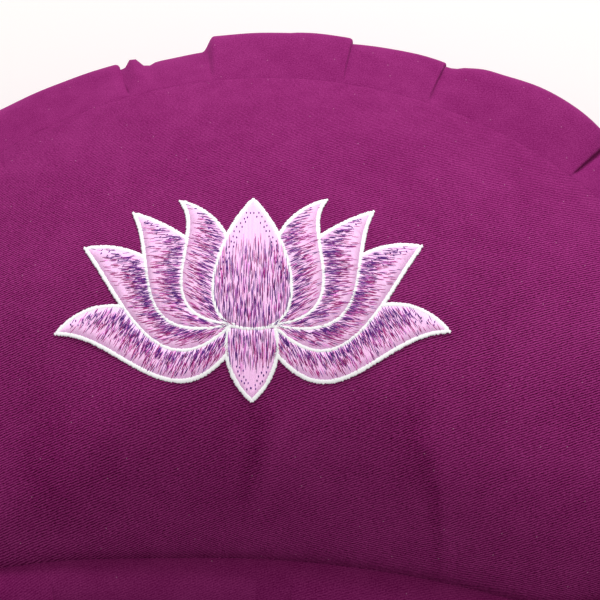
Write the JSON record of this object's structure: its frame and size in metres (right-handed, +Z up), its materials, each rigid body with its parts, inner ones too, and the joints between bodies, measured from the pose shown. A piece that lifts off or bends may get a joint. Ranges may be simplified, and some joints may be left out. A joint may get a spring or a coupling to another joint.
{
  "type": "crescent meditation cushion",
  "caption": "Crescent meditation cushion of plum cotton twill, firmly filled, with a pleated side band and an embroidered lotus on its top panel.",
  "frame": {"origin": "on the floor, under the middle of the cushion's box", "axes": "+X to the right along the cushion's width, +Y from the hollow front to the round pleated back, +Z up"},
  "size_m": [0.4846, 0.3141, 0.1363],
  "materials": {
    "plum_twill": "matt",
    "stitching": "satin"
  },
  "bodies": {
    "root": {"pleated_body": "plum_twill", "top_panel": "plum_twill", "bottom_panel": "plum_twill", "petal_centre": "stitching", "petal_lower": "stitching", "petal_right_1": "stitching", "petal_right_2": "stitching", "petal_right_3": "stitching", "petal_right_4": "stitching", "petal_left_1": "stitching", "petal_left_2": "stitching", "petal_left_3": "stitching", "petal_left_4": "stitching"}
  },
  "joints": []
}
